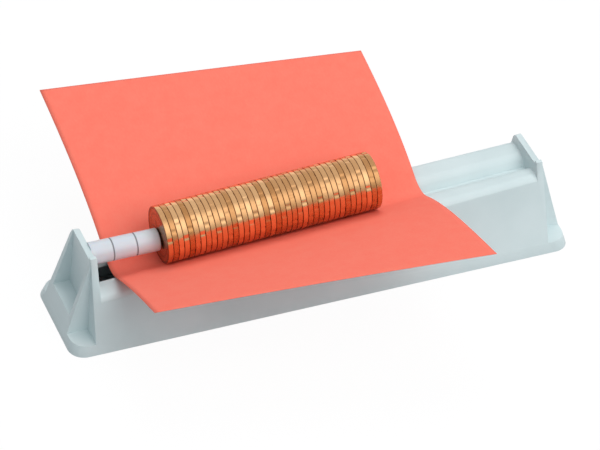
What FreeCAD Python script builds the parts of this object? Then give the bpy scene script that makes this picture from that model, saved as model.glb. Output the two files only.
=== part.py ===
import FreeCAD, Part
import math
import os

Vector = FreeCAD.Vector
Rotation = FreeCAD.Rotation
Placement = FreeCAD.Placement

os.makedirs("parts", exist_ok=True)
doc = FreeCAD.newDocument("coin_wrapping_tray")

# Driving dimensions, in millimetres and degrees
SIZES = {
    "base_length": 203.6,
    "base_width": 42.5,
    "base_height": 4.0,
    "base_corner_radius": 6.8,
    "wall_height": 34.8,
    "front_top_inset": 12.3,
    "back_top_inset": 9.3,
    "end_top_inset": 10.5,
    "end_foot_inset": 9.3,
    "end_wall_thickness": 2.4,
    "rib_top_thickness": 1.4,
    "rib_foot_thickness": 3.2,
    "rib_foot_spread": 1.9,
    "pocket_floor_height": 10.2,
    "corner_lug_height": 1.3,
    "corner_lug_length": 2.0,
    "skin_thickness": 2.0,
    "cross_rib_thickness": 2.0,
    "trough_slope": 3.1,
    "groove_half_width": 3.8,
    "groove_side_angle": 55.0,
    "groove_depth": 4.0,
    "groove_edge_radius": 4.0,
    "rail_outer_radius": 3.5,
    "window_half_width": 5.0,
    "window_length": 27.0,
    "pin_diameter": 8.75,
    "pin_axis_height": 31.2,
    "pin_end_from_wall": 26.9,
    "pin_segment_length": 9.2,
    "pin_ring_depth": 0.3,
    "pin_ring_width": 0.5,
    "pin_end_radius": 0.5,
    "spigot_diameter": 5.0,
    "spigot_length": 1.2,
    "roll_axis_height": 33.1,
    "coin_diameter": 22.25,
    "coin_thickness": 2.14,
    "coin_rim_width": 1.1,
    "coin_recess_depth": 0.12,
    "coin_notch_width": 1.6,
    "coin_notch_depth": 0.3,
    "coin_turn": 137.5,
    "coin_to_pin_gap": 0.3,
    "sheet_width": 126.5,
    "sheet_height": 141.3,
    "sheet_thickness": 0.2,
    "sheet_clearance": 0.25,
    "sheet_turn": 8.98,
    "sheet_side_turn": 0.8,
    "sheet_corner_along": -19.8,
    "sheet_corner_run": -55.4,
    "sheet_hug_angle": 32.0,
    "back_left_lean": 2.7,
    "back_right_lean": 3.4,
    "back_settle_length": 40.0,
    "front_left_lean": 20.6,
    "front_right_lean": 15.9,
    "front_settle_length": 26.1,
}
COIN_COUNT = 40
NOTCH_COUNT = 7
CROSS_RIB_COUNT = 5
PROFILE_STEPS = 48

sizes = doc.addObject("Spreadsheet::Sheet", "Sizes")
for row, (alias, value) in enumerate(SIZES.items(), start=1):
    sizes.set(f"A{row}", alias)
    sizes.set(f"B{row}", str(value))
    sizes.setAlias(f"B{row}", alias)
doc.recompute()


def size(alias):
    return float(sizes.get(alias))


# Places that several pieces share, as expressions on the sheet
HALF_LENGTH = "Sizes.base_length / 2"
HALF_WIDTH = "Sizes.base_width / 2"
WALL_INNER = "(Sizes.base_length / 2 - Sizes.end_top_inset - Sizes.end_wall_thickness)"
SLOPE = "(Sizes.trough_slope * 1deg)"
SIDE_ANGLE = "(Sizes.groove_side_angle * 1deg)"
SKIN_ACROSS = "(Sizes.skin_thickness * sqrt(1 + (Sizes.front_top_inset / Sizes.wall_height) ^ 2))"
SKIN_BESIDE_GROOVE = f"(Sizes.skin_thickness / sin({SIDE_ANGLE}))"
ROLL_START = f"(-{WALL_INNER} + Sizes.pin_end_from_wall + Sizes.coin_to_pin_gap)"
# The rounded shoulders of the groove carry the sheet and the roll with a small
# clearance on both faces of the sheet, and that sets the rails' height
EDGE_CENTRE = f"(Sizes.groove_half_width + Sizes.groove_edge_radius * tan({SIDE_ANGLE} / 2))"
SEAT_RADIUS = "(Sizes.coin_diameter / 2 + 2 * Sizes.sheet_clearance + Sizes.sheet_thickness)"
RAIL_DROP = (
    f"(sqrt(({SEAT_RADIUS} + Sizes.groove_edge_radius) ^ 2 - {EDGE_CENTRE} ^ 2)"
    " - Sizes.groove_edge_radius)"
)


def front_half(height):
    return f"({HALF_WIDTH} - Sizes.front_top_inset * {height} / Sizes.wall_height)"


def back_half(height):
    return f"({HALF_WIDTH} - Sizes.back_top_inset * {height} / Sizes.wall_height)"


def end_half(height):
    return f"({HALF_LENGTH} - Sizes.end_top_inset * {height} / Sizes.wall_height)"


def bind(thing, **expressions):
    for name, expression in expressions.items():
        thing.setExpression(name.replace("_", "."), expression)
    return thing


def leaning_block(name, low, high, foot, top):
    """A block that leans from the rectangle foot at height low to the rectangle top at
    height high. Each rectangle is (x low, x high, y low, y high)."""
    block = doc.addObject("Part::Wedge", name)
    bind(block, Ymin=low, Ymax=high)
    bind(block, Xmin=foot[0], Xmax=foot[1], X2min=top[0], X2max=top[1])
    bind(block, Zmin=f"-({foot[3]})", Zmax=f"-({foot[2]})")
    bind(block, Z2min=f"-({top[3]})", Z2max=f"-({top[2]})")
    block.Placement = Placement(Vector(0, 0, 0), Rotation(Vector(1, 0, 0), 90))
    return block


def box(name, x_low, x_high, y_low, y_high, z_low, z_high):
    block = doc.addObject("Part::Box", name)
    bind(block, Length=f"{x_high} - ({x_low})", Width=f"{y_high} - ({y_low})")
    bind(block, Height=f"{z_high} - ({z_low})", Placement_Base_x=x_low)
    return bind(block, Placement_Base_y=y_low, Placement_Base_z=z_low)


def fuse(name, *pieces):
    joined = doc.addObject("Part::MultiFuse", name)
    joined.Shapes = list(pieces)
    joined.Refine = True
    return joined


def cut(name, base, tool):
    result = doc.addObject("Part::Cut", name)
    result.Base = base
    result.Tool = tool
    result.Refine = True
    return result


def mirrored(name, source):
    """The same piece at the other end of the tray."""
    copy = doc.addObject("Part::Mirroring", name)
    copy.Source = source
    copy.Normal = Vector(1, 0, 0)
    return copy


def in_trough(thing):
    """Places a piece made about the roll's axis, its end face at x = 0, in the sloping trough."""
    thing.Placement.Rotation = Rotation(Vector(0, 1, 0), -size("trough_slope"))
    return bind(thing, Placement_Base_x=ROLL_START, Placement_Base_z="Sizes.roll_axis_height")


def rounded(name, base, radii):
    """Fillets each edge that radii gives a radius for."""
    doc.recompute()
    result = doc.addObject("Part::Fillet", name)
    result.Base = base
    chosen = []
    for number, edge in enumerate(base.Shape.Edges, start=1):
        radius = radii(edge)
        if radius:
            chosen.append((number, radius, radius))
    result.Edges = chosen
    return result


# Foot plate, whose four sides lean in with the sides and ends of the tray
foot_block = leaning_block(
    "foot_block", "0", "Sizes.base_height",
    (f"-{HALF_LENGTH}", HALF_LENGTH, f"-{HALF_WIDTH}", HALF_WIDTH),
    (f"-{end_half('Sizes.base_height')}", end_half("Sizes.base_height"),
     f"-{front_half('Sizes.base_height')}", back_half("Sizes.base_height")),
)


def standing_edge_radius(edge):
    rise = abs(edge.Vertexes[0].Z - edge.Vertexes[-1].Z)
    return size("base_corner_radius") if rise > size("base_height") / 2 else None


foot_plate = rounded("foot_plate", foot_block, standing_edge_radius)

# End wall with its two buttress ribs, the raised pocket floor between them and the
# small lug on its front top corner
TOP = "Sizes.wall_height"
FRONT_TOP = front_half(TOP)
BACK_TOP = back_half(TOP)
END_TOP = f"-{HALF_LENGTH} + Sizes.end_top_inset"
end_wall = leaning_block(
    "end_wall", "0", TOP,
    (f"-{HALF_LENGTH} + Sizes.end_foot_inset", f"-{WALL_INNER}", f"-{HALF_WIDTH}", HALF_WIDTH),
    (END_TOP, f"-{WALL_INNER}", f"-{FRONT_TOP}", BACK_TOP),
)
RIB_IN_WALL = f"-{WALL_INNER} - Sizes.end_wall_thickness / 2"
FRONT_RIB_FOOT = f"({FRONT_TOP} + Sizes.rib_foot_spread)"
FRONT_RIB_INNER = f"({FRONT_RIB_FOOT} - Sizes.rib_foot_thickness)"
front_rib = leaning_block(
    "front_rib", "0", TOP,
    (f"-{HALF_LENGTH}", RIB_IN_WALL, f"-{FRONT_RIB_FOOT}", f"-{FRONT_RIB_INNER}"),
    (END_TOP, RIB_IN_WALL, f"-{FRONT_TOP}", f"-{FRONT_TOP} + Sizes.rib_top_thickness"),
)
BACK_RIB_FOOT = f"({BACK_TOP} + Sizes.rib_foot_spread)"
BACK_RIB_INNER = f"({BACK_RIB_FOOT} - Sizes.rib_foot_thickness)"
back_rib = leaning_block(
    "back_rib", "0", TOP,
    (f"-{HALF_LENGTH}", RIB_IN_WALL, BACK_RIB_INNER, BACK_RIB_FOOT),
    (END_TOP, RIB_IN_WALL, f"{BACK_TOP} - Sizes.rib_top_thickness", BACK_TOP),
)
POCKET = "Sizes.pocket_floor_height"
IN_FRONT_RIB = f"-{FRONT_RIB_INNER} - Sizes.rib_top_thickness / 2"
IN_BACK_RIB = f"{BACK_RIB_INNER} + Sizes.rib_top_thickness / 2"
pocket_floor = leaning_block(
    "pocket_floor", "0", POCKET,
    (f"-{HALF_LENGTH}", RIB_IN_WALL, IN_FRONT_RIB, IN_BACK_RIB),
    (f"-{end_half(POCKET)}", RIB_IN_WALL, IN_FRONT_RIB, IN_BACK_RIB),
)
LUG_FOOT = "(Sizes.wall_height - Sizes.corner_lug_height)"
LUG_TOP = "(Sizes.wall_height + Sizes.corner_lug_height)"
LUG_BACK = f"-{FRONT_TOP} + Sizes.corner_lug_length"
corner_lug = leaning_block(
    "corner_lug", LUG_FOOT, LUG_TOP,
    (END_TOP, f"-{WALL_INNER}", f"-{front_half(LUG_FOOT)}", LUG_BACK),
    (END_TOP, f"-{WALL_INNER}", f"-{front_half(LUG_TOP)}", LUG_BACK),
)
left_end = fuse("left_end", end_wall, front_rib, back_rib, pocket_floor, corner_lug)
right_end = mirrored("right_end", left_end)

# Trough: two broad rounded rails with a groove between them, rising to the right
INTO_WALL = f"({WALL_INNER} + Sizes.end_wall_thickness / 4)"
trough_core = leaning_block(
    "trough_core", "0", TOP,
    (f"-{INTO_WALL}", INTO_WALL, f"-{HALF_WIDTH}", HALF_WIDTH),
    (f"-{INTO_WALL}", INTO_WALL, f"-{FRONT_TOP}", BACK_TOP),
)
above_rails = box(
    "above_rails", "-Sizes.base_length", "Sizes.base_length", f"-{HALF_WIDTH}", HALF_WIDTH,
    f"-{RAIL_DROP}", "Sizes.wall_height",
)
GROOVE_FLOOR_HALF = f"(Sizes.groove_half_width - Sizes.groove_depth / tan({SIDE_ANGLE}))"
groove = leaning_block(
    "groove", f"-{RAIL_DROP} - Sizes.groove_depth", f"-{RAIL_DROP}",
    ("-Sizes.base_length", "Sizes.base_length", f"-{GROOVE_FLOOR_HALF}", GROOVE_FLOOR_HALF),
    ("-Sizes.base_length", "Sizes.base_length", "-Sizes.groove_half_width", "Sizes.groove_half_width"),
)
trough_space = in_trough(fuse("trough_space", above_rails, groove))
trough_cut = cut("trough_cut", trough_core, trough_space)


def rail_edge_radius(edge):
    """The rails' long edges: large on the outside, smaller on the groove's shoulders."""
    if edge.Length < size("base_length") / 2:
        return None
    middle = edge.CenterOfMass
    at_groove_floor = abs(middle.y) < size("groove_half_width") / 2
    if at_groove_floor or middle.z < size("base_height"):
        return None
    outside = abs(middle.y) > size("groove_half_width") + size("groove_edge_radius") / 2
    return size("rail_outer_radius") if outside else size("groove_edge_radius")


trough = rounded("trough", trough_cut, rail_edge_radius)
solid_tray = fuse("solid_tray", foot_plate, left_end, right_end, trough)

# Hollow underside, which leaves an even skin, the groove's channel and cross ribs
hollow_core = leaning_block(
    "hollow_core", "0", TOP,
    (f"-{WALL_INNER}", WALL_INNER,
     f"-{HALF_WIDTH} + {SKIN_ACROSS}", f"{HALF_WIDTH} - {SKIN_ACROSS}"),
    (f"-{WALL_INNER}", WALL_INNER,
     f"-{FRONT_TOP} + {SKIN_ACROSS}", f"{BACK_TOP} - {SKIN_ACROSS}"),
)
rail_skin = box(
    "rail_skin", "-Sizes.base_length", "Sizes.base_length", f"-{HALF_WIDTH}", HALF_WIDTH,
    f"-{RAIL_DROP} - Sizes.skin_thickness", "Sizes.wall_height",
)
CHANNEL_FLOOR_HALF = f"({GROOVE_FLOOR_HALF} + {SKIN_BESIDE_GROOVE})"
CHANNEL_HALF = f"(Sizes.groove_half_width + {SKIN_BESIDE_GROOVE})"
channel_skin = leaning_block(
    "channel_skin", f"-{RAIL_DROP} - Sizes.groove_depth - Sizes.skin_thickness", f"-{RAIL_DROP}",
    ("-Sizes.base_length", "Sizes.base_length", f"-{CHANNEL_FLOOR_HALF}", CHANNEL_FLOOR_HALF),
    ("-Sizes.base_length", "Sizes.base_length", f"-{CHANNEL_HALF}", CHANNEL_HALF),
)
skins = in_trough(fuse("skins", rail_skin, channel_skin))
cross_ribs = []
for number in range(CROSS_RIB_COUNT):
    place = f"{WALL_INNER} * {2 * (number + 1) / (CROSS_RIB_COUNT + 1) - 1}"
    cross_ribs.append(box(
        f"cross_rib_{number + 1}",
        f"{place} - Sizes.cross_rib_thickness / 2", f"{place} + Sizes.cross_rib_thickness / 2",
        f"-{HALF_WIDTH}", HALF_WIDTH, "0", TOP,
    ))
hollow = cut("hollow", hollow_core, fuse("kept_inside", skins, *cross_ribs))
CELL_TOP = "(Sizes.pocket_floor_height - Sizes.skin_thickness)"
CELL_INNER = f"-{HALF_LENGTH} + Sizes.end_foot_inset"
CELL_FRONT = f"{IN_FRONT_RIB} + Sizes.skin_thickness / 2"
CELL_BACK = f"{IN_BACK_RIB} - Sizes.skin_thickness / 2"
end_cell = leaning_block(
    "end_cell", "0", CELL_TOP,
    (f"-{HALF_LENGTH} + {SKIN_ACROSS}", CELL_INNER, CELL_FRONT, CELL_BACK),
    (f"-{end_half(CELL_TOP)} + {SKIN_ACROSS}", CELL_INNER, CELL_FRONT, CELL_BACK),
)
far_end_cell = mirrored("far_end_cell", end_cell)

# Opening in the groove under the stop pin
window = box(
    "window", f"-{WALL_INNER}", f"-{WALL_INNER} + Sizes.window_length",
    "-Sizes.window_half_width", "Sizes.window_half_width", "0", "Sizes.pin_axis_height",
)
socket = doc.addObject("Part::Cylinder", "socket")
bind(socket, Radius="Sizes.spigot_diameter / 2", Height="Sizes.spigot_length")
bind(socket, Placement_Base_x=f"-{WALL_INNER} - Sizes.spigot_length")
bind(socket, Placement_Base_z="Sizes.pin_axis_height")
socket.Placement.Rotation = Rotation(Vector(0, 1, 0), 90)
hollows = fuse("hollows", hollow, end_cell, far_end_cell, window, socket)
base_moulding = cut("base_moulding", solid_tray, hollows)


def along_x(name, radius, start, length):
    rod = doc.addObject("Part::Cylinder", name)
    bind(rod, Radius=radius, Height=length, Placement_Base_x=start)
    bind(rod, Placement_Base_z="Sizes.pin_axis_height")
    rod.Placement.Rotation = Rotation(Vector(0, 1, 0), 90)
    return rod


# Stop pin: a spigot in the wall's blind socket, and a shank marked by rings
shank = along_x("shank", "Sizes.pin_diameter / 2", f"-{WALL_INNER}", "Sizes.pin_end_from_wall")


def free_end_radius(edge):
    at_free_end = edge.CenterOfMass.x > shank.Shape.BoundBox.XMax - size("pin_end_radius")
    return size("pin_end_radius") if at_free_end and edge.Closed else None


rounded_shank = rounded("rounded_shank", shank, free_end_radius)
spigot = along_x(
    "spigot", "Sizes.spigot_diameter / 2", f"-{WALL_INNER} - Sizes.spigot_length",
    "Sizes.spigot_length + Sizes.pin_segment_length / 2",
)
ring_cuts = []
for number in (1, 2):
    start = (
        f"-{WALL_INNER} + Sizes.pin_end_from_wall - {number} * Sizes.pin_segment_length"
        " - Sizes.pin_ring_width / 2"
    )
    sleeve = along_x(f"ring_sleeve_{number}", "Sizes.pin_diameter", start, "Sizes.pin_ring_width")
    core = along_x(
        f"ring_core_{number}", "Sizes.pin_diameter / 2 - Sizes.pin_ring_depth",
        start, "Sizes.pin_ring_width",
    )
    ring_cuts.append(cut(f"ring_cut_{number}", sleeve, core))
stop_pin = cut("stop_pin", fuse("plain_pin", rounded_shank, spigot), fuse("rings", *ring_cuts))

# One coin: a disc with a raised rim on both faces and evenly spaced edge notches
disc = doc.addObject("Part::Cylinder", "disc")
bind(disc, Radius="Sizes.coin_diameter / 2", Height="Sizes.coin_thickness")
recesses = []
for name, start in (
    ("near_recess", "0"),
    ("far_recess", "Sizes.coin_thickness - Sizes.coin_recess_depth"),
):
    recess = doc.addObject("Part::Cylinder", name)
    bind(recess, Radius="Sizes.coin_diameter / 2 - Sizes.coin_rim_width")
    bind(recess, Height="Sizes.coin_recess_depth", Placement_Base_z=start)
    recesses.append(recess)
notches = []
for number in range(NOTCH_COUNT):
    notch = doc.addObject("Part::Cylinder", f"notch_{number + 1}")
    turn = 360 * number / NOTCH_COUNT
    reach = "(Sizes.coin_diameter / 2 + Sizes.coin_notch_width / 2 - Sizes.coin_notch_depth)"
    bind(notch, Radius="Sizes.coin_notch_width / 2", Height="Sizes.coin_thickness")
    bind(notch, Placement_Base_x=f"{reach} * cos({turn}deg)")
    bind(notch, Placement_Base_y=f"{reach} * sin({turn}deg)")
    notches.append(notch)
coin_pattern = cut("coin_pattern", disc, fuse("coin_cuts", *recesses, *notches))
doc.recompute()

# The roll: coins face to face on the trough's slope, each turned on from the last
tilt = Rotation(Vector(0, 1, 0), -size("trough_slope"))
coins = []
for number in range(COIN_COUNT):
    coin = doc.addObject("Part::Feature", f"coin_{number + 1:02d}")
    coin.Shape = coin_pattern.Shape.copy()
    own_turn = Rotation(Vector(0, 0, 1), number * size("coin_turn"))
    onto_axis = Rotation(Vector(0, 1, 0), 90)
    coin.Placement = Placement(Vector(0, 0, 0), tilt.multiply(onto_axis).multiply(own_turn))
    run = f"{number} * Sizes.coin_thickness"
    bind(coin, Placement_Base_x=f"{ROLL_START} + {run} * cos({SLOPE})")
    bind(coin, Placement_Base_z=f"Sizes.roll_axis_height + {run} * sin({SLOPE})")
    coins.append(coin)


def sheet_profile(run, far, settle):
    """How far across and how high, from the roll's axis, the sheet's lower face lies at
    run along it from under the roll. It hugs the roll at first, then settles towards the
    lean far over the length settle. Angles are in degrees."""
    radius = size("coin_diameter") / 2 + size("sheet_clearance") + size("sheet_thickness")
    near = size("sheet_hug_angle")
    hugged = min(run, radius * math.radians(near))
    across = radius * math.sin(hugged / radius)
    height = -radius * math.cos(hugged / radius)
    step = (run - hugged) / PROFILE_STEPS
    for number in range(PROFILE_STEPS):
        lean = math.radians(far + (near - far) * math.exp(-step * (number + 0.5) / settle))
        across += step * math.cos(lean)
        height += step * math.sin(lean)
    return across, height


def sheet_point(along_width, along_height):
    """A point of the sheet's lower face, given in the flat sheet from its front left corner."""
    turn = math.radians(size("sheet_turn"))
    side_turn = math.radians(size("sheet_side_turn"))
    along = along_width * math.cos(turn) + along_height * math.sin(side_turn)
    run = (
        size("sheet_corner_run") - along_width * math.sin(turn) + along_height * math.cos(side_turn)
    )
    share = along / (size("sheet_width") * math.cos(turn))
    side = "back" if run > 0 else "front"
    lean_left = size(f"{side}_left_lean")
    lean_right = size(f"{side}_right_lean")
    far = lean_left + share * (lean_right - lean_left)
    across, height = sheet_profile(abs(run), far, size(f"{side}_settle_length"))
    return Vector(size("sheet_corner_along") + along, math.copysign(across, run), height)


# Wrapper sheet: thin, cut a little out of square, and laid askew in the trough under the roll
STATIONS_ACROSS = 9
STATIONS_ALONG = 61
grid = []
for across_step in range(STATIONS_ACROSS):
    along_width = size("sheet_width") * across_step / (STATIONS_ACROSS - 1)
    row_points = []
    for along_step in range(STATIONS_ALONG):
        along_height = size("sheet_height") * along_step / (STATIONS_ALONG - 1)
        row_points.append(sheet_point(along_width, along_height))
    grid.append(row_points)
lower_face = Part.BSplineSurface()
lower_face.interpolate(grid)
wrapper_sheet = doc.addObject("Part::Feature", "wrapper_sheet")
wrapper_sheet.Shape = lower_face.toShape().extrude(Vector(0, 0, size("sheet_thickness")))
in_trough(wrapper_sheet)

# Labels name the pieces' files
pieces = {"base_moulding": base_moulding, "stop_pin": stop_pin, "wrapper_sheet": wrapper_sheet}
for coin in coins:
    pieces[coin.Name] = coin
for label, piece in pieces.items():
    piece.Label = label
doc.recompute()

for thing in doc.Objects:
    if "Invalid" in thing.State or "Error" in thing.State:
        raise RuntimeError(f"{thing.Name} failed to build")
for label, piece in pieces.items():
    if piece.Shape.isNull() or not piece.Shape.isValid():
        raise RuntimeError(f"{label} has no valid shape")
    if len(piece.Shape.Solids) != 1:
        raise RuntimeError(f"{label} isn't one solid")
    piece.Shape.exportStep(f"parts/{label}.step")
    print(f"{label}: {piece.Shape.Volume:.1f} mm3")
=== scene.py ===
# %% [markdown]
# # A hand tray for wrapping coins
#
# The object is a grey moulded tray with a sloping groove, a white pin at its low end,
# a sheet of red paper laid in the groove and a roll of forty coins on the paper.
# The exact solids come from a CAD frame. This lesson dresses them: each cell builds one
# piece or one finish, in metres, in the frame's own coordinates.

# %% Load the frame
import math

import bmesh
import bpy
from mathutils import Matrix, Vector


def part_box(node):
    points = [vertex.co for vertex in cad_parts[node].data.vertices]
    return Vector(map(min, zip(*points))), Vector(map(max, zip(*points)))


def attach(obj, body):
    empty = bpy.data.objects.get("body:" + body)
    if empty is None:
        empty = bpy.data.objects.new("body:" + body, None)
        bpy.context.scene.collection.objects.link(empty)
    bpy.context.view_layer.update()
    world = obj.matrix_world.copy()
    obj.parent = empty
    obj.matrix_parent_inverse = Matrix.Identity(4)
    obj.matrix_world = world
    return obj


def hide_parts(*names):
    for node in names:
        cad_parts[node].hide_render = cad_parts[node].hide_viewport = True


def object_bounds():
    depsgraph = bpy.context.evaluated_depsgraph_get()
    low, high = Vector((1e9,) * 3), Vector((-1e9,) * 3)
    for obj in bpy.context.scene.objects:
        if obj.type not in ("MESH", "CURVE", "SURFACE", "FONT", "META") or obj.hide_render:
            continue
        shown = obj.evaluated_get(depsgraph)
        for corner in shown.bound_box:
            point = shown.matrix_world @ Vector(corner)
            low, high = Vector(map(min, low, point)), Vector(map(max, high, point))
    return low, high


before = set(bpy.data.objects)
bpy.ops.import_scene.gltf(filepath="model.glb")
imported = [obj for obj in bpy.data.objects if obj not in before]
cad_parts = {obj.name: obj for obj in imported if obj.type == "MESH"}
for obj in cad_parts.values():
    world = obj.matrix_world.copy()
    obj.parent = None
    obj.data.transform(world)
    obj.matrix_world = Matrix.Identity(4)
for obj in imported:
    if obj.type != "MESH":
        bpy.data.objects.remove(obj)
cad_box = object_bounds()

# %% [markdown]
# The pieces follow a few sizes of the real object. Millimetres are easier to read than
# metres, so every size is written in millimetres and multiplied by MM once.
# The roll lies along a line that climbs 3.1 degrees to the right, so one matrix places
# everything that is easier to make level, with its axis on X. The wall face is the inner
# side of the left end wall, and points nearer together than SAME_PLACE are one point.

# %% Sizes that several pieces share
MM = 0.001
TROUGH_SLOPE = math.radians(3.1)
COIN_DIAMETER = 22.25 * MM
COIN_THICKNESS = 2.14 * MM
COIN_COUNT = 40
NOTCH_COUNT = 7
ROLL_START = Vector((-61.7, 0, 33.1)) * MM
PIN_END = -62.0 * MM
PIN_SEGMENT = 9.2 * MM
WALL_FACE = -88.9 * MM
SAME_PLACE = 0.001 * MM

IN_TROUGH = Matrix.Translation(ROLL_START) @ Matrix.Rotation(-TROUGH_SLOPE, 4, "Y")
low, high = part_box("coin_01")
print("first coin spans x", round(low[0] / MM, 2), "to", round(high[0] / MM, 2), "mm")

# %% [markdown]
# A finished piece keeps its object at the origin, with its place in its mesh, as the
# frame's own pieces do. This helper turns a bmesh into such an object and rides it on a
# body of the frame, so that it moves when the body does.

# %% A helper that finishes a piece
def finish_piece(name, shape, material, body, stands_for):
    """Makes an object from a bmesh, gives it its finish and ties it to the frame."""
    mesh = bpy.data.meshes.new(name)
    shape.to_mesh(mesh)
    shape.free()
    mesh.materials.append(material)
    piece = bpy.data.objects.new(name, mesh)
    bpy.context.scene.collection.objects.link(piece)
    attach(piece, body)
    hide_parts(*stands_for)
    return piece


# %% [markdown]
# The pin and the coins are round, so both are made the way a lathe works: a profile, given
# as points along and out from an axis parallel to X, is spun round that axis. Rounded
# edges in a profile are quarter circles, which one small function steps through.

# %% Helpers for turned shapes
def quarter_circle(steps):
    """The sine and cosine at even steps through a quarter turn."""
    turns = [math.radians(90 * step / steps) for step in range(steps + 1)]
    return [(math.sin(turn), math.cos(turn)) for turn in turns]


def turned_shape(profile, height, steps):
    """Spins a profile round an axis that lies at this height."""
    shape = bmesh.new()
    points = [shape.verts.new((along, radius, height)) for along, radius in profile]
    line = [shape.edges.new(pair) for pair in zip(points, points[1:])]
    bmesh.ops.spin(
        shape, geom=points + line, cent=(0, 0, height), axis=(1, 0, 0),
        angle=math.tau, steps=steps, use_merge=True)
    bmesh.ops.remove_doubles(shape, verts=shape.verts, dist=SAME_PLACE)
    return shape


def smooth_all(shape):
    """Points the faces outwards and shades them smoothly."""
    bmesh.ops.recalc_face_normals(shape, faces=shape.faces)
    for face in shape.faces:
        face.smooth = True


# %% [markdown]
# Colours are picked as sRGB hex values, the numbers a colour picker shows. Blender's
# sockets expect linear light, so one function converts them. A second one adds a node
# with its settings and its links, which keeps each finish short to read.

# %% Helpers for finishes
def linear(hex_code):
    """The linear colour of an sRGB hex value."""
    shares = [int(hex_code[place:place + 2], 16) / 255 for place in (1, 3, 5)]
    light = [s / 12.92 if s <= 0.04045 else ((s + 0.055) / 1.055) ** 2.4 for s in shares]
    return (*light, 1)


def add_node(tree, kind, sockets=None, **settings):
    """Adds one node. A socket's value is either a number or another node's output."""
    node = tree.nodes.new(kind)
    for name, value in settings.items():
        setattr(node, name, value)
    for name, value in (sockets or {}).items():
        if isinstance(value, bpy.types.NodeSocket):
            tree.links.new(value, node.inputs[name])
        else:
            node.inputs[name].default_value = value
    return node


def new_finish(name, **sockets):
    """A material with a Principled shader, and the object's coordinates to build on."""
    material = bpy.data.materials.new(name)
    material.use_nodes = True
    tree = material.node_tree
    shader = tree.nodes["Principled BSDF"]
    for socket, value in sockets.items():
        shader.inputs[socket.replace("_", " ")].default_value = value
    place = add_node(tree, "ShaderNodeTexCoord").outputs["Object"]
    return material, tree, shader, place


def per_metre(size_mm):
    """The scale of a pattern whose features are this many millimetres wide."""
    return 1 / (size_mm * MM)


print("red paper in linear light:", [round(c, 3) for c in linear("#FF7A66")[:3]])

# %% [markdown]
# The tray is impact polystyrene, injection moulded in cool pale grey. The mould was
# lightly textured, so the plastic is satin: it has soft highlights along the rails and
# no mirror image. The eye also sees slow, faint changes of tone where the melt flowed,
# and the paler patches are a little duller.

# %% Moulded polystyrene
tray_plastic, tree, shader, place = new_finish("moulded_polystyrene", IOR=1.59)
flow = add_node(tree, "ShaderNodeTexNoise", {
    "Vector": place, "Scale": per_metre(28), "Detail": 3, "Roughness": 0.55})
tone = add_node(tree, "ShaderNodeValToRGB", {"Fac": flow.outputs["Fac"]})
tone.color_ramp.elements[0].position = 0.32
tone.color_ramp.elements[0].color = linear("#CCDDDF")
tone.color_ramp.elements[1].position = 0.70
tone.color_ramp.elements[1].color = linear("#D6E5E7")
# Real mould grain is near 0.05 mm, too fine for the picture, so it is drawn at 0.35 mm
grain = add_node(tree, "ShaderNodeTexNoise", {
    "Vector": place, "Scale": per_metre(0.35), "Detail": 2, "Roughness": 0.6})
sheen = add_node(tree, "ShaderNodeMapRange", {
    "Value": flow.outputs["Fac"], "From Min": 0.3, "From Max": 0.7,
    "To Min": 0.40, "To Max": 0.49})
relief = add_node(tree, "ShaderNodeBump", {
    "Height": grain.outputs["Fac"], "Strength": 0.35, "Distance": 0.02 * MM})
tree.links.new(tone.outputs["Color"], shader.inputs["Base Color"])
tree.links.new(sheen.outputs["Result"], shader.inputs["Roughness"])
tree.links.new(relief.outputs["Normal"], shader.inputs["Normal"])
print("finish:", tray_plastic.name)

# %% [markdown]
# The pin is a turned rod of natural acetal. It is smoother than the tray, and light
# passes a little way into it, which softens its shading. Fine turning marks run round
# it, so the grain is squeezed along the rod and stretched around it. Its two rings and
# its free end, where it meets the coins, get painted shade, and handling has polished it
# unevenly.

# %% Turned acetal
pin_plastic, tree, shader, place = new_finish(
    "turned_acetal", IOR=1.48, Subsurface_Weight=0.12, Subsurface_Scale=1.2 * MM)
# Real marks are near 0.1 mm apart, too fine for the picture, so they are drawn at 0.33 mm
along = add_node(tree, "ShaderNodeMapping", {"Vector": place, "Scale": (12, 1, 1)})
marks = add_node(tree, "ShaderNodeTexNoise", {
    "Vector": along.outputs["Vector"], "Scale": per_metre(4), "Detail": 2})
relief = add_node(tree, "ShaderNodeBump", {
    "Height": marks.outputs["Fac"], "Strength": 0.25, "Distance": 0.02 * MM})
# The rings lie at whole segments from the pin's free end; painted shade darkens them and the
# end's edge
reach = add_node(tree, "ShaderNodeSeparateXYZ", {"Vector": place})
from_end = add_node(tree, "ShaderNodeMath", {
    0: reach.outputs["X"], 1: PIN_END}, operation="SUBTRACT")
to_ring = add_node(tree, "ShaderNodeMath", {
    0: from_end.outputs[0], 1: PIN_SEGMENT / 2}, operation="PINGPONG")
ring_shade = add_node(tree, "ShaderNodeMapRange", {
    "Value": to_ring.outputs[0], "From Min": 0.35 * MM, "From Max": 0.2 * MM, "To Max": 0.8})
# The dark grey mixed in here is painted shade, not the acetal's own colour
ring_shaded = add_node(tree, "ShaderNodeMix", {
    0: ring_shade.outputs["Result"], 6: linear("#D3DAE2"), 7: linear("#7F8188")}, data_type="RGBA")
tree.links.new(ring_shaded.outputs[2], shader.inputs["Base Color"])
handling = add_node(tree, "ShaderNodeTexNoise", {"Vector": place, "Scale": per_metre(6)})
polish = add_node(tree, "ShaderNodeMapRange", {
    "Value": handling.outputs["Fac"], "To Min": 0.26, "To Max": 0.42})
tree.links.new(polish.outputs["Result"], shader.inputs["Roughness"])
tree.links.new(relief.outputs["Normal"], shader.inputs["Normal"])
print("finish:", pin_plastic.name)

# %% [markdown]
# The wrapper is uncoated paper, dyed right through in a warm coral red. Uncoated paper
# scatters light in all directions, so it is rough, with hardly any highlight. Close up
# it is a felt of fibres, drawn as short streaks, and the dye takes a little unevenly,
# which gives a faint cloudiness a few millimetres wide.

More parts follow.
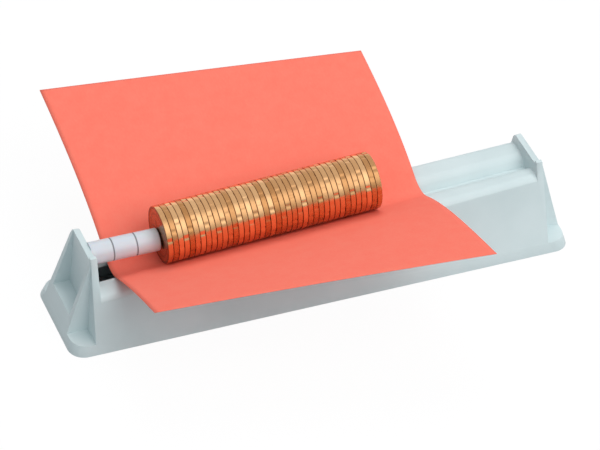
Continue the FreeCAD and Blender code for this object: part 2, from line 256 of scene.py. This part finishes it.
# %% Dyed wrapping paper
paper, tree, shader, place = new_finish("dyed_wrapping_paper", Roughness=0.86, IOR=1.38)
clouds = add_node(tree, "ShaderNodeTexNoise", {
    "Vector": place, "Scale": per_metre(5), "Detail": 4, "Roughness": 0.6})
# Real fibres are near 0.03 mm wide, too fine for the picture, so they are drawn at 0.6 mm
lengthened = add_node(tree, "ShaderNodeMapping", {
    "Vector": place, "Rotation": (0, 0, 0.5), "Scale": (1, 0.35, 1)})
fibres = add_node(tree, "ShaderNodeTexNoise", {
    "Vector": lengthened.outputs["Vector"], "Scale": per_metre(0.6), "Detail": 3})
felt = add_node(tree, "ShaderNodeMix", {
    0: 0.4, 2: clouds.outputs["Fac"], 3: fibres.outputs["Fac"]}, data_type="FLOAT")
dye = add_node(tree, "ShaderNodeValToRGB", {"Fac": felt.outputs[0]})
dye.color_ramp.elements[0].position = 0.36
dye.color_ramp.elements[0].color = linear("#FF7A66")
dye.color_ramp.elements[1].position = 0.64
dye.color_ramp.elements[1].color = linear("#FF816D")
relief = add_node(tree, "ShaderNodeBump", {
    "Height": fibres.outputs["Fac"], "Strength": 0.3, "Distance": 0.03 * MM})
tree.links.new(dye.outputs["Color"], shader.inputs["Base Color"])
tree.links.new(relief.outputs["Normal"], shader.inputs["Normal"])
print("finish:", paper.name)

# %% [markdown]
# The coins are struck from a yellow copper alloy. Its colour is the metal's own, so it
# goes on the base colour with metallic at 1. Coins from circulation all differ: some
# are bright, some have toned brown. The pattern measures how far along the roll a point
# is, in coins. The whole part of that number picks one tone for each coin, and how dull
# its worn patches are. The fraction tells how near the seam between two coins is, where
# painted shade darkens the metal.

# %% Struck copper alloy
coin_metal, tree, shader, place = new_finish("struck_copper_alloy", Metallic=1)
level = add_node(tree, "ShaderNodeMapping", {
    "Vector": place, "Location": -ROLL_START}, vector_type="POINT")
turned = add_node(tree, "ShaderNodeVectorRotate", {
    "Vector": level.outputs["Vector"], "Angle": TROUGH_SLOPE}, rotation_type="Y_AXIS")
parts = add_node(tree, "ShaderNodeSeparateXYZ", {"Vector": turned.outputs["Vector"]})
in_coins = add_node(tree, "ShaderNodeMath", {
    0: parts.outputs["X"], 1: 1 / COIN_THICKNESS}, operation="MULTIPLY")
which = add_node(tree, "ShaderNodeMath", {0: in_coins.outputs[0]}, operation="FLOOR")
own = add_node(tree, "ShaderNodeTexWhiteNoise", {"W": which.outputs[0]}, noise_dimensions="1D")
alloy = add_node(tree, "ShaderNodeValToRGB", {"Fac": own.outputs["Value"]})
alloy.color_ramp.elements[0].color = linear("#CE955F")
alloy.color_ramp.elements[1].color = linear("#F6C48F")
within = add_node(tree, "ShaderNodeMath", {0: in_coins.outputs[0]}, operation="FRACT")
from_middle = add_node(tree, "ShaderNodeMath", {
    0: within.outputs[0], 1: 0.5}, operation="SUBTRACT")
to_seam = add_node(tree, "ShaderNodeMath", {0: from_middle.outputs[0]}, operation="ABSOLUTE")
# Painted shade: the metal darkens towards the seam between two coins
seam_shade = add_node(tree, "ShaderNodeMapRange", {
    "Value": to_seam.outputs[0], "From Min": 0.38, "From Max": 0.49})
tone_and_seam_shade = add_node(tree, "ShaderNodeMix", {
    0: seam_shade.outputs["Result"], 6: alloy.outputs["Color"], 7: linear("#8A5C3A")},
    data_type="RGBA")
# Handling leaves scratches and dull patches about a millimetre wide
worn = add_node(tree, "ShaderNodeTexNoise", {
    "Vector": place, "Scale": per_metre(1.1), "Detail": 3, "Roughness": 0.65})
dullest = add_node(tree, "ShaderNodeMapRange", {
    "Value": own.outputs["Value"], "To Min": 0.42, "To Max": 0.20})
dull = add_node(tree, "ShaderNodeMapRange", {
    "Value": worn.outputs["Fac"], "From Min": 0.3, "From Max": 0.7,
    "To Min": 0.13, "To Max": dullest.outputs["Result"]})
relief = add_node(tree, "ShaderNodeBump", {
    "Height": worn.outputs["Fac"], "Strength": 0.16, "Distance": 0.03 * MM})
tree.links.new(tone_and_seam_shade.outputs[2], shader.inputs["Base Color"])
tree.links.new(dull.outputs["Result"], shader.inputs["Roughness"])
tree.links.new(relief.outputs["Normal"], shader.inputs["Normal"])
print("finish:", coin_metal.name)

# %% [markdown]
# The tray's shape is exact already. The frame's mesh is loose triangles, so a copy is
# merged first, and its flat faces are joined. The rim that the tray stands on goes round
# eight hollows, and a face can't have holes, so slanting edges are left that split it into
# faces of very awkward shape. Turned into triangles, those would partly cover the hollows.
# A straight cut across each hollow makes simple faces, and the slanting edges can go.

# %% The moulded tray's faces
MERGED_WITHIN = 0.004 * MM
FLAT_WITHIN = math.radians(0.5)
RIM_HEIGHT = 0.3 * MM
ON_CUT = 0.01 * MM
CELL_COUNT = 6
END_HOLLOW = 95.0 * MM

cuts = [WALL_FACE * (1 - (2 * cell + 1) / CELL_COUNT) for cell in range(CELL_COUNT)]
cuts += [-END_HOLLOW, END_HOLLOW]


def under(face):
    """Whether a face lies in the plane that the tray stands on."""
    return all(corner.co.z < RIM_HEIGHT for corner in face.verts)


def along_cut(edge):
    """Whether an edge runs along one of the straight cuts."""
    return any(all(abs(end.co.x - cut) < ON_CUT for end in edge.verts) for cut in cuts)


tray_shape = bmesh.new()
tray_shape.from_mesh(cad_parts["base_moulding"].data)
bmesh.ops.remove_doubles(tray_shape, verts=tray_shape.verts, dist=MERGED_WITHIN)
bmesh.ops.dissolve_limit(
    tray_shape, angle_limit=FLAT_WITHIN, verts=tray_shape.verts, edges=tray_shape.edges)
for cut in cuts:
    rim = [face for face in tray_shape.faces if under(face)]
    rim += list({edge for face in rim for edge in face.edges})
    bmesh.ops.bisect_plane(tray_shape, geom=rim, dist=SAME_PLACE, plane_co=(cut, 0, 0),
                           plane_no=(1, 0, 0))
slanting = [edge for edge in tray_shape.edges
            if len(edge.link_faces) == 2 and all(under(face) for face in edge.link_faces)
            and not along_cut(edge)]
bmesh.ops.dissolve_edges(tray_shape, edges=slanting, use_verts=False)
print("faces of the rim:", sum(under(face) for face in tray_shape.faces))

# %% [markdown]
# The rear top corner of each end wall is plainly round, so it is bevelled by itself. The
# small radii that a mould leaves on every edge come from a Bevel modifier. It rounds what
# is sharper than the fillets' facets. Its clamp stays on, because without it thin spikes
# grow out of the right end wall. The price is that these radii come out near 0.01 mm, far
# smaller than the width asked for.

# %% The moulded tray's rounding
MOULD_RADIUS = 0.4 * MM
SHARP_ABOVE = math.radians(28)
CORNER_RADIUS = 2.2 * MM
CORNER_HEIGHT = 34.5 * MM
CORNER_DEPTH = 11.0 * MM
WALL_MARGIN = 0.3 * MM


def at_rear_corner(end):
    """Whether a point lies at the rear top corner of an end wall."""
    return (end.co.z > CORNER_HEIGHT and end.co.y > CORNER_DEPTH
            and abs(end.co.x) > abs(WALL_FACE) - WALL_MARGIN)


rear_corners = [edge for edge in tray_shape.edges
                if all(at_rear_corner(end) for end in edge.verts)
                and abs(edge.verts[0].co.x - edge.verts[1].co.x) > WALL_MARGIN]
bmesh.ops.bevel(tray_shape, geom=rear_corners, affect="EDGES", offset=CORNER_RADIUS,
                segments=5, profile=0.5, material=-1)
for face in tray_shape.faces:
    face.smooth = True
tray = finish_piece(
    "moulded_tray", tray_shape, tray_plastic, "tray", ["base_moulding"])
rounding = tray.modifiers.new("mould_radius", "BEVEL")
rounding.width = MOULD_RADIUS
rounding.segments = 3
rounding.limit_method = "ANGLE"
rounding.angle_limit = SHARP_ABOVE
rounding.use_clamp_overlap = True
rounding.harden_normals = True
rounding.miter_outer = "MITER_ARC"
print("rear corners:", len(rear_corners), "- tray faces:", len(tray.data.polygons))

# %% [markdown]
# The pin's profile starts on its axis inside the wall's socket, where a thinner spigot
# holds it. It runs along the shank with its two rings, and rounds over at the free end.
# Each ring is a small groove with soft shoulders, given as steps along and down it.

# %% The stop pin
PIN_RADIUS = 8.75 / 2 * MM
PIN_HEIGHT = 31.2 * MM
SPIGOT_RADIUS = 2.5 * MM
SPIGOT_LENGTH = 1.2 * MM
RING_DEPTH = 0.3 * MM
RING_HALF = 0.25 * MM
RING_STEPS = ((-1.25, 0), (-1, 0.15), (-0.8, 1), (0.8, 1), (1, 0.15), (1.25, 0))
END_RADIUS = 0.5 * MM
CREASED_ABOVE = math.radians(35)
PIN_STEPS = 72

pin_profile = [
    (WALL_FACE - SPIGOT_LENGTH, 0), (WALL_FACE - SPIGOT_LENGTH, SPIGOT_RADIUS),
    (WALL_FACE, SPIGOT_RADIUS), (WALL_FACE, PIN_RADIUS)]
for ring in (2, 1):
    middle = PIN_END - ring * PIN_SEGMENT
    for step, depth in RING_STEPS:
        pin_profile.append((middle + step * RING_HALF, PIN_RADIUS - depth * RING_DEPTH))
for sine, cosine in quarter_circle(4):
    pin_profile.append((PIN_END - END_RADIUS * (1 - sine),
                        PIN_RADIUS - END_RADIUS * (1 - cosine)))
pin_profile.append((PIN_END, 0))

shape = turned_shape(pin_profile, PIN_HEIGHT, PIN_STEPS)
smooth_all(shape)
for edge in shape.edges:
    edge.smooth = edge.calc_face_angle(0) < CREASED_ABOVE
finish_piece("ringed_pin", shape, pin_plastic, "tray", ["stop_pin"])
print("pin length out of the wall:", round((PIN_END - WALL_FACE) / MM, 1), "mm")

# %% [markdown]
# The sheet lies in the groove, a little askew, and it was cut about eight degrees out of
# square. It hugs the roll from below, leaves it at 32 degrees on both sides, and then
# settles towards a gentler lean. Paper can bend but not stretch, so it is drawn in its
# own flat coordinates: for each point the distance along the paper is kept, and only the
# lean of each short length changes. A simulation would leave that to chance. A grid is
# made flat, moved point by point, and then given the thickness of paper. The sheet's own
# sizes are plain millimetres here, until each point is placed.

# %% The wrapper sheet
SHEET_WIDTH = 126.5
SHEET_HEIGHT = 141.3
SHEET_CLEARANCE = 0.25
SHEET_THICKNESS = 0.2
HUG_RADIUS = COIN_DIAMETER / MM / 2 + SHEET_CLEARANCE + SHEET_THICKNESS
HUG_ANGLE = 32.0
WIDTH_TURN = math.radians(8.98)
SIDE_TURN = math.radians(0.80)
CORNER_ALONG = -19.8
CORNER_RUN = -55.4
FAR_LEAN = {"back": (2.7, 3.4), "front": (20.6, 15.9)}
SETTLE_LENGTH = {"back": 40.0, "front": 26.1}
PROFILE_STEPS = 48
GRID_STEPS = (63, 141)
PAPER_SHOWN = 0.14 * MM


def sheet_profile(run, far, settle):
    """Across and up from the roll's axis, in millimetres, at run along the paper."""
    hugged = min(run, HUG_RADIUS * math.radians(HUG_ANGLE))
    across = HUG_RADIUS * math.sin(hugged / HUG_RADIUS)
    height = -HUG_RADIUS * math.cos(hugged / HUG_RADIUS)
    step = (run - hugged) / PROFILE_STEPS
    for number in range(PROFILE_STEPS):
        settled = math.exp(-step * (number + 0.5) / settle)
        lean = math.radians(far + (HUG_ANGLE - far) * settled)
        across += step * math.cos(lean)
        height += step * math.sin(lean)
    return across, height


def sheet_point(across_sheet, up_sheet):
    """Where a point of the flat sheet lies, given in millimetres from its front left corner."""
    along = across_sheet * math.cos(WIDTH_TURN) + up_sheet * math.sin(SIDE_TURN)
    run = CORNER_RUN - across_sheet * math.sin(WIDTH_TURN) + up_sheet * math.cos(SIDE_TURN)
    share = along / (SHEET_WIDTH * math.cos(WIDTH_TURN))
    side = "back" if run > 0 else "front"
    left, right = FAR_LEAN[side]
    far = left + share * (right - left)
    across, height = sheet_profile(abs(run), far, SETTLE_LENGTH[side])
    return Vector((CORNER_ALONG + along, math.copysign(across, run), height)) * MM


shape = bmesh.new()
bmesh.ops.create_grid(shape, x_segments=GRID_STEPS[0], y_segments=GRID_STEPS[1], size=0.5)
for point in shape.verts:
    point.co = IN_TROUGH @ sheet_point(
        (point.co.x + 0.5) * SHEET_WIDTH, (point.co.y + 0.5) * SHEET_HEIGHT)
for face in shape.faces:
    face.smooth = True
sheet = finish_piece(
    "wrapping_paper", shape, paper, "wrapper", ["wrapper_sheet"])
wall = sheet.modifiers.new("paper_thickness", "SOLIDIFY")
wall.thickness = PAPER_SHOWN
wall.offset = 1
# The smallest rectangle of paper that the slanting sheet can be cut from
print("sheet, flat:", SHEET_WIDTH, "x", SHEET_HEIGHT, "mm")

# %% [markdown]
# A coin is a disc with a raised rim, seven notches in its edge and a shallow design on
# each face. Spinning one profile makes the disc, the rounded rim and the rings that the
# design needs. Two small vertex moves then press in the notches and raise a plain
# seven-leaved rosette inside a ring, a design made up for this lesson.

# %% One coin
RADIUS = COIN_DIAMETER / 2
RIM_WIDTH = 1.1 * MM
RIM_SLOPE = 0.1 * MM
RECESS = 0.12 * MM
EDGE_ROUND = 0.34 * MM
FIELD_STEP = 0.75 * MM
FIELD_RINGS = 12
STEPS_PER_NOTCH = 20

face_profile = [(RECESS, ring * FIELD_STEP) for ring in range(FIELD_RINGS + 1)]
face_profile += [(RECESS, RADIUS - RIM_WIDTH - RIM_SLOPE), (0, RADIUS - RIM_WIDTH + RIM_SLOPE)]
for sine, cosine in quarter_circle(3):
    face_profile.append((EDGE_ROUND * (1 - cosine), RADIUS - EDGE_ROUND * (1 - sine)))
far_profile = [(COIN_THICKNESS - along, radius) for along, radius in reversed(face_profile)]
coin_profile = face_profile + far_profile
print("points in a coin's profile:", len(coin_profile))

# %% [markdown]
# The notches and the rosette are given as heights at a radius and a turn. A leaf is where
# a seven-lobed line reaches further out than the point, and the ring has a ridge's section.

# %% Its notches and its design
NOTCH_WIDTH = 1.6 * MM
NOTCH_DEPTH = 0.2 * MM
NOTCH_SHOULDER = 0.1 * MM
NOTCH_SPACING = math.tau / NOTCH_COUNT
NOTCHED_BAND = 0.6 * MM
LEAF_REACH = 6.2 * MM
LEAF_MIDDLE = 0.72
LEAF_SWING = 0.28
RING_RADIUS = 8.25 * MM
RING_WIDTH = 0.4 * MM
DESIGN_HEIGHT = 0.08 * MM


def rosette(radius, turn):
    """How high the design stands above the coin's field: seven leaves inside a ring."""
    leaf = radius / LEAF_REACH - LEAF_MIDDLE - LEAF_SWING * math.cos(NOTCH_COUNT * turn)
    ring = abs(radius - RING_RADIUS) / RING_WIDTH
    return DESIGN_HEIGHT * max(1 if leaf < 0 else 0, 1 - ring, 0)


def notch(turn):
    """How far the edge is pressed in at this angle."""
    to_notch = (turn + NOTCH_SPACING / 2) % NOTCH_SPACING - NOTCH_SPACING / 2
    share = abs(to_notch) * RADIUS / (NOTCH_WIDTH / 2 + NOTCH_SHOULDER)
    return NOTCH_DEPTH * (1 - share * share) if share < 1 else 0


def coin_shape():
    """A coin whose near face is at x = 0 and whose axis is X."""
    shape = turned_shape(coin_profile, 0, NOTCH_COUNT * STEPS_PER_NOTCH)
    for point in shape.verts:
        radius = math.hypot(point.co.y, point.co.z)
        turn = math.atan2(point.co.z, point.co.y)
        if radius > RADIUS - NOTCHED_BAND:
            smaller = 1 - notch(turn) / RADIUS
            point.co.y *= smaller
            point.co.z *= smaller
        elif radius < RADIUS - RIM_WIDTH - 2 * RIM_SLOPE:
            near = point.co.x < COIN_THICKNESS / 2
            point.co.x += rosette(radius, turn) * (-1 if near else 1)
    smooth_all(shape)
    return shape


print("notch depth:", round(NOTCH_DEPTH / MM, 2), "mm")

# %% [markdown]
# The roll is the same coin forty times. Real coins never line up: each is turned its own
# way, and sits a few hundredths of a millimetre off the axis. Those small steps break
# the highlight along the roll into short bars, which is what makes it read as coins and
# not as a ribbed rod. Worn coins are also a little smaller. Each turn follows the solid
# coin's, so the notches agree.

# %% The roll of coins
COIN_TURN = math.radians(137.5)
OFF_AXIS = 0.022 * MM
WANDER = 2.4
WORN_SIZE = 0.9962
SIZE_SPREAD = 0.0016
SIZE_STEP = 5.1

coin_master = bpy.data.meshes.new("coin_master")
shape = coin_shape()
shape.to_mesh(coin_master)
shape.free()

coins = []
for number in range(COIN_COUNT):
    name = f"coin_{number + 1:02d}"
    shape = bmesh.new()
    shape.from_mesh(coin_master)
    wander = number * WANDER
    shrink = WORN_SIZE + SIZE_SPREAD * math.sin(number * SIZE_STEP)
    off_axis = Vector((0, math.cos(wander), math.sin(wander))) * OFF_AXIS
    turned = Matrix.Rotation(number * COIN_TURN, 4, "X")
    place = Matrix.Translation(Vector((number * COIN_THICKNESS, 0, 0)) + off_axis)
    smaller = Matrix.Diagonal((1, shrink, shrink, 1))
    bmesh.ops.transform(shape, matrix=IN_TROUGH @ place @ turned @ smaller, verts=shape.verts)
    coins.append(finish_piece(
        f"struck_{name}", shape, coin_metal, "coin_roll", [name]))
bpy.data.meshes.remove(coin_master)
print("coins:", len(coins), "- triangles in one:",
      sum(len(face.vertices) - 2 for face in coins[0].data.polygons))

# %% [markdown]
# The object stands in a white studio. Things that only stage it are not part of it.
# The floor and the world both look whiter to the camera, and in a mirror or through
# glass, than the light they give, so one function picks those rays out.

# %% Helpers for the studio
def set_stage(name, shape, material):
    """Makes a bmesh an object that stages the tray and isn't part of it."""
    mesh = bpy.data.meshes.new(name)
    shape.to_mesh(mesh)
    shape.free()
    mesh.materials.append(material)
    item = bpy.data.objects.new(name, mesh)
    bpy.context.scene.collection.objects.link(item)
    return item


def seen_directly(tree):
    """1 for rays from the camera, from a mirror or through glass, and 0 for the others."""
    ray = add_node(tree, "ShaderNodeLightPath")
    by_eye = add_node(tree, "ShaderNodeMath", {
        0: ray.outputs["Is Camera Ray"], 1: ray.outputs["Is Glossy Ray"]}, operation="MAXIMUM")
    through = add_node(tree, "ShaderNodeMath", {
        0: by_eye.outputs[0], 1: ray.outputs["Is Transmission Ray"]}, operation="MAXIMUM")
    return through.outputs[0]


print("the tray stands at z", round(cad_box[0][2] / MM, 2), "mm")

# %% [markdown]
# The floor is a plain white plane, lit so that only a breath of shadow is left on it.
# Seen directly it glows by itself for most of its brightness, and the rest is ordinary
# white that takes the shadow. No other light ray sees the glow, so it adds nothing to the
# object. Under the hollow tray the glow is off, so the window by the pin stays dark.

# %% The floor
GLOW_SHARE = 0.90
GLOW_STRENGTH = 1.06
FLOOR_REACH = 6
FLOOR_GAP = 0.05 * MM
HOLLOW_END = 92.0 * MM
HOLLOW_SIDE = 20.2 * MM

floor_white, tree, shader, place = new_finish("white_sweep", Roughness=0.9, IOR=1.3)
shader.inputs["Base Color"].default_value = linear("#BFC1C3")
away = add_node(tree, "ShaderNodeVectorMath", {0: place}, operation="ABSOLUTE")
parts = add_node(tree, "ShaderNodeSeparateXYZ", {"Vector": away.outputs["Vector"]})
past_end = add_node(tree, "ShaderNodeMath", {
    0: parts.outputs["X"], 1: HOLLOW_END}, operation="GREATER_THAN")
past_side = add_node(tree, "ShaderNodeMath", {
    0: parts.outputs["Y"], 1: HOLLOW_SIDE}, operation="GREATER_THAN")
open_floor = add_node(tree, "ShaderNodeMath", {
    0: past_end.outputs[0], 1: past_side.outputs[0]}, operation="MAXIMUM")
most = add_node(tree, "ShaderNodeMath", {
    0: open_floor.outputs[0], 1: GLOW_SHARE}, operation="MULTIPLY")
share = add_node(tree, "ShaderNodeMath", {
    0: seen_directly(tree), 1: most.outputs[0]}, operation="MULTIPLY")
glow = add_node(tree, "ShaderNodeEmission", {
    "Color": (1, 1, 1, 1), "Strength": GLOW_STRENGTH})
mixed = add_node(tree, "ShaderNodeMixShader", {
    0: share.outputs[0], 1: shader.outputs[0], 2: glow.outputs[0]})
tree.links.new(mixed.outputs[0], tree.nodes["Material Output"].inputs["Surface"])

shape = bmesh.new()
bmesh.ops.create_grid(shape, x_segments=1, y_segments=1, size=FLOOR_REACH)
bmesh.ops.translate(shape, vec=(0, 0, cad_box[0][2] - FLOOR_GAP), verts=shape.verts)
set_stage("white_floor", shape, floor_white)
print("floor:", 2 * FLOOR_REACH, "m wide")

# %% [markdown]
# The world gives an even grey-white light from all sides, like the walls of a white
# studio. The camera sees plain white instead, and so does a reflection that misses the
# arch, which is made after the lights.

# %% The world
world = bpy.data.worlds.new("studio")
bpy.context.scene.world = world
world.use_nodes = True
tree = world.node_tree
tree.nodes.clear()
walls = add_node(tree, "ShaderNodeBackground", {"Color": linear("#F3F6FA"), "Strength": 0.42})
white = add_node(tree, "ShaderNodeBackground", {"Color": (1, 1, 1, 1), "Strength": 1})
either = add_node(tree, "ShaderNodeMixShader", {
    0: seen_directly(tree), 1: walls.outputs[0], 2: white.outputs[0]})
add_node(tree, "ShaderNodeOutputWorld", {"Surface": either.outputs[0]})
print("world:", world.name)

# %% [markdown]
# Two soft boxes light the tray. The main one is wider than a door and hangs in front, to
# the right, a little higher than the camera. It lights the right half of the front wall
# and leaves the left end in shade. A weak one above lifts the tops. Reflections don't see
# either of them, because their sharp edges would show in the metal: the next cell makes
# the reflections.

# %% The lights
def soft_box(name, hangs_at, looks_at, width, watts, colour):
    """A square area light that hangs at one point, looks at another and isn't mirrored."""
    lamp = bpy.data.lights.new(name, "AREA")
    lamp.size = width
    lamp.energy = watts
    lamp.color = linear(colour)[:3]
    holder = bpy.data.objects.new(name, lamp)
    holder.location = hangs_at
    aim = Vector(looks_at) - Vector(hangs_at)
    holder.rotation_euler = aim.to_track_quat("-Z", "Y").to_euler()
    holder.visible_glossy = False
    bpy.context.scene.collection.objects.link(holder)


soft_box("front_right", (0.48, -0.84, 1.15), (0, 0, 0.03), 1.35, 13.0, "#FFFEFC")
soft_box("above", (0.15, 0.38, 0.95), (0, 0, 0.02), 0.6, 3.4, "#FFFFFF")

# %% [markdown]
# What makes metal look like metal is what it mirrors. An arch stands over the tray from
# the front to the back, and only reflections see it. It is bright where the soft box
# hangs, which makes the band of light along the middle of the roll, and fades into grey
# walls below and a grey ceiling behind, which keep the coins brown. One line is spun
# round the X axis to make it, and its brightness follows the angle at which a point
# stands.

# %% What the metal mirrors
ARCH_RADIUS = 2.4
ARCH_LOWEST = math.radians(2)
ARCH_TURN = math.radians(156)
ARCH_BRIGHTEST = 1.4
ARCH_STEPS = 24
# Degrees up from the front, and the brightness there as a share of the brightest
ARCH_GLOW = ((2, 0.30), (17, 0.38), (29, 0.58), (40, 0.82), (52, 1.00),
             (68, 1.00), (80, 0.82), (93, 0.53))

arch_glow, tree, _, place = new_finish("studio_glow")
parts = add_node(tree, "ShaderNodeSeparateXYZ", {"Vector": place})
forwards = add_node(tree, "ShaderNodeMath", {0: parts.outputs["Y"], 1: -1}, operation="MULTIPLY")
climb = add_node(tree, "ShaderNodeMath", {
    0: parts.outputs["Z"], 1: forwards.outputs[0]}, operation="ARCTAN2")
half_turns = add_node(tree, "ShaderNodeMath", {
    0: climb.outputs[0], 1: math.pi}, operation="DIVIDE")
brightness = add_node(tree, "ShaderNodeValToRGB", {"Fac": half_turns.outputs[0]})
stops = brightness.color_ramp.elements
for number, (degrees, bright) in enumerate(ARCH_GLOW):
    stop = stops[number] if number < 2 else stops.new(degrees / 180)
    stop.position = degrees / 180
    stop.color = (bright, bright, bright, 1)
glow = add_node(tree, "ShaderNodeEmission", {
    "Color": brightness.outputs["Color"], "Strength": ARCH_BRIGHTEST})
tree.links.new(glow.outputs[0], tree.nodes["Material Output"].inputs["Surface"])

shape = bmesh.new()
front = Vector((0, -math.cos(ARCH_LOWEST), math.sin(ARCH_LOWEST))) * ARCH_RADIUS
ends = [shape.verts.new(front + Vector((side, 0, 0))) for side in (-ARCH_RADIUS, ARCH_RADIUS)]
bmesh.ops.spin(
    shape, geom=ends + [shape.edges.new(ends)], cent=(0, 0, 0), axis=(-1, 0, 0),
    angle=ARCH_TURN, steps=ARCH_STEPS)
arch = set_stage("glowing_arch", shape, arch_glow)
arch.visible_camera = False
arch.visible_diffuse = False
arch.visible_shadow = False
print("arch stands", round(max(point.co.z for point in arch.data.vertices), 2), "m high")

# %% [markdown]
# The camera stands high on the left and looks down at the tray. Its place and lens were
# worked out from straight edges of the tray: their directions give the angles, and how
# much the far end shrinks gives the distance. It leans a few degrees about its own view.

# %% The camera
CAMERA_PLACE = (-0.4445, -0.9405, 0.9203)
AZIMUTH = math.radians(25.08)
ELEVATION = math.radians(40.84)
LEAN = math.radians(4.70)
LENS = 218.4
SENSOR_WIDTH = 36

lens = bpy.data.cameras.new("camera")
lens.sensor_width = SENSOR_WIDTH
lens.sensor_fit = "HORIZONTAL"
lens.lens = LENS
lens.clip_start = 0.05
lens.clip_end = 20
camera = bpy.data.objects.new("camera", lens)
bpy.context.scene.collection.objects.link(camera)
forward = Vector((math.sin(AZIMUTH) * math.cos(ELEVATION),
                  math.cos(AZIMUTH) * math.cos(ELEVATION), -math.sin(ELEVATION)))
level_right = Vector((math.cos(AZIMUTH), -math.sin(AZIMUTH), 0))
level_up = level_right.cross(forward)
right = level_right * math.cos(LEAN) + level_up * math.sin(LEAN)
up = level_up * math.cos(LEAN) - level_right * math.sin(LEAN)
looks = Matrix((right, up, -forward)).transposed().to_4x4()
camera.matrix_world = Matrix.Translation(CAMERA_PLACE) @ looks
bpy.context.scene.camera = camera
bpy.context.scene.view_settings.view_transform = "Standard"
print("camera", round(camera.location.length, 3), "m from the origin")
